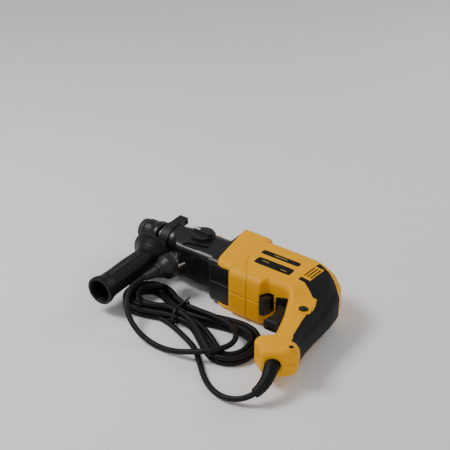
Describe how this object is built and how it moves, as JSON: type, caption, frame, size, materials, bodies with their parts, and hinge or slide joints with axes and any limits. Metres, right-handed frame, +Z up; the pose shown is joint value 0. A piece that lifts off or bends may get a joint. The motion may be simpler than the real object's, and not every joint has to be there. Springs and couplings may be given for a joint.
{
  "type": "rotary demolition hammer",
  "caption": "Corded pistol-grip demolition hammer with keyless chuck, side handle, hammer drive, motor, trigger, and a tied power cord with plug.",
  "frame": {"origin": "on the surface the tool lies on, under the middle of the tool's own box without its cord", "axes": "+X along the spindle from the tool mouth to the rear, +Y the tool's own top side, +Z up out of its left side, which faces up as it lies"},
  "size_m": [0.371, 0.2659, 0.08],
  "materials": {
    "yellow_shell": "fine moulded texture, satin",
    "soft_rubber": "soft moulded rubber",
    "gear_case": "matt black moulding",
    "steel_screws": "zinc plated",
    "ground_steel": "ground",
    "gear_steel": "machined, oiled",
    "bearing_steel": "polished",
    "seal_rubber": "black seal rubber",
    "cap_rubber": "soft black rubber",
    "sleeve_plastic": "satin dark grey",
    "spring_steel": "drawn wire",
    "piston_alloy": "turned",
    "core_steel": "stacked sheet",
    "copper": "copper wire and bars",
    "inner_plastic": "unpolished black",
    "brass_parts": "pressed brass",
    "carbon": "sintered carbon",
    "capacitor_case": "potted case",
    "control_plastic": "satin black",
    "handle_plastic": "satin black moulding",
    "cord_rubber": "black rubber sheath",
    "tie_wire": "plastic covered wire",
    "plug_plastic": "moulded-on black plug",
    "nickel_pins": "nickel plated"
  },
  "bodies": {
    "housing": {"housing_left": "yellow_shell", "housing_right": "yellow_shell", "overmould_left": "soft_rubber", "overmould_right": "soft_rubber", "gear_housing": "gear_case", "bearing_plate": "gear_case", "flange_screws": "steel_screws", "housing_screws": "steel_screws", "spindle_bearings": "bearing_steel", "spindle_seal": "seal_rubber", "intermediate_bearings": "bearing_steel", "armature_bearings": "bearing_steel", "stator_core": "core_steel", "field_coils": "copper", "brush_holders": "brass_parts", "carbon_brushes": "carbon", "brush_springs": "spring_steel", "rear_bearing_seat": "inner_plastic", "switch_body": "inner_plastic", "suppressor": "capacitor_case", "cord_clamp": "inner_plastic", "cord_boot": "cord_rubber", "cord_from_grip": "cord_rubber", "cord_hank": "cord_rubber", "cord_to_plug": "cord_rubber", "cord_tie": "tie_wire", "plug_body": "plug_plastic", "plug_pins": "nickel_pins"},
    "armature": {"armature_shaft": "gear_steel", "armature_core": "core_steel", "armature_windings": "copper", "commutator": "copper", "fan": "inner_plastic"},
    "intermediate": {"intermediate_shaft": "gear_steel", "wobble_drum": "bearing_steel", "intermediate_gear": "gear_steel"},
    "spindle": {"spindle": "ground_steel", "spindle_gear": "gear_steel", "dust_cap": "cap_rubber", "chuck_keeper": "ground_steel", "locking_balls": "bearing_steel", "chuck_spring": "spring_steel"},
    "lock_sleeve": {"lock_sleeve": "sleeve_plastic"},
    "striker": {"striker": "ground_steel", "striker_seal": "seal_rubber"},
    "impact_bolt": {"impact_bolt": "ground_steel"},
    "wobble": {"wobble_ring": "bearing_steel"},
    "piston": {"piston": "piston_alloy", "piston_seal": "seal_rubber"},
    "piston_pin": {"piston_pin": "ground_steel"},
    "trigger": {"trigger": "control_plastic", "trigger_plunger": "inner_plastic"},
    "lock_button": {"lock_on_button": "control_plastic"},
    "direction_lever": {"direction_lever": "control_plastic"},
    "mode_knob": {"mode_knob": "control_plastic"},
    "side_clamp": {"clamp_band": "handle_plastic", "clamp_bolt": "steel_screws"},
    "side_grip": {"side_grip": "handle_plastic", "clamp_nut": "steel_screws"}
  },
  "joints": [
    {"name": "armature_spin", "type": "hinge", "parent": "housing", "child": "armature", "pos_m": [0.05447, 0.04925, 0.04], "axis": [1, 0, 0], "continuous": true},
    {"name": "intermediate_spin", "type": "hinge", "parent": "housing", "child": "intermediate", "pos_m": [-0.04553, 0.03225, 0.04], "axis": [1, 0, 0], "continuous": true},
    {"name": "spindle_spin", "type": "hinge", "parent": "housing", "child": "spindle", "pos_m": [-0.10953, 0.06225, 0.04], "axis": [1, 0, 0], "continuous": true},
    {"name": "lock_sleeve_slide", "type": "slide", "parent": "spindle", "child": "lock_sleeve", "axis": [1, 0, 0], "range_m": [0, 0.006], "stiffness_N_per_m": 1500, "springref_m": -0.006, "deforming": ["chuck_spring"]},
    {"name": "striker_slide", "type": "slide", "parent": "spindle", "child": "striker", "axis": [1, 0, 0], "range_m": [-0.0074, 0.005]},
    {"name": "impact_bolt_slide", "type": "slide", "parent": "spindle", "child": "impact_bolt", "axis": [1, 0, 0], "range_m": [-0.0015, 0.002]},
    {"name": "wobble_tilt", "type": "hinge", "parent": "housing", "child": "wobble", "pos_m": [-0.01953, 0.03225, 0.04], "axis": [0, 0, -1], "range_deg": [-12, 12]},
    {"name": "piston_slide", "type": "slide", "parent": "housing", "child": "piston", "axis": [1, 0, 0], "range_m": [-0.0063, 0.0063]},
    {"name": "piston_pin_turn", "type": "hinge", "parent": "piston", "child": "piston_pin", "pos_m": [-0.01953, 0.06225, 0.04], "axis": [0, 0, -1], "range_deg": [-12.1, 12.1]},
    {"name": "trigger_pull", "type": "slide", "parent": "housing", "child": "trigger", "axis": [0.9368, 0.3499, 0], "range_m": [0, 0.006], "stiffness_N_per_m": 900, "springref_m": -0.004},
    {"name": "lock_on_press", "type": "slide", "parent": "housing", "child": "lock_button", "axis": [0, 0, -1], "range_m": [0, 0.0025], "stiffness_N_per_m": 500, "springref_m": -0.003},
    {"name": "direction_turn", "type": "hinge", "parent": "housing", "child": "direction_lever", "pos_m": [0.08047, 0.00725, 0.04], "axis": [0, 1, 0], "range_deg": [-10, 10]},
    {"name": "mode_turn", "type": "hinge", "parent": "housing", "child": "mode_knob", "pos_m": [-0.06753, 0.05925, 0.073], "axis": [0, 0, 1], "range_deg": [-45, 90]},
    {"name": "side_handle_swivel", "type": "hinge", "parent": "housing", "child": "side_clamp", "pos_m": [-0.12903, 0.06225, 0.04], "axis": [-1, 0, 0], "range_deg": [0, 180]},
    {"name": "side_grip_turn", "type": "hinge", "parent": "side_clamp", "child": "side_grip", "pos_m": [-0.12903, -0.03775, 0.04], "axis": [0, -1, 0], "continuous": true}
  ],
  "couplings": [
    {"joint": "intermediate_spin", "follows": "armature_spin", "ratio": -0.41667},
    {"joint": "spindle_spin", "follows": "armature_spin", "ratio": 0.15152},
    {"joint": "wobble_tilt", "follows": "piston_slide", "rad_per_m": 32.895},
    {"joint": "piston_pin_turn", "follows": "piston_slide", "rad_per_m": 32.895}
  ]
}
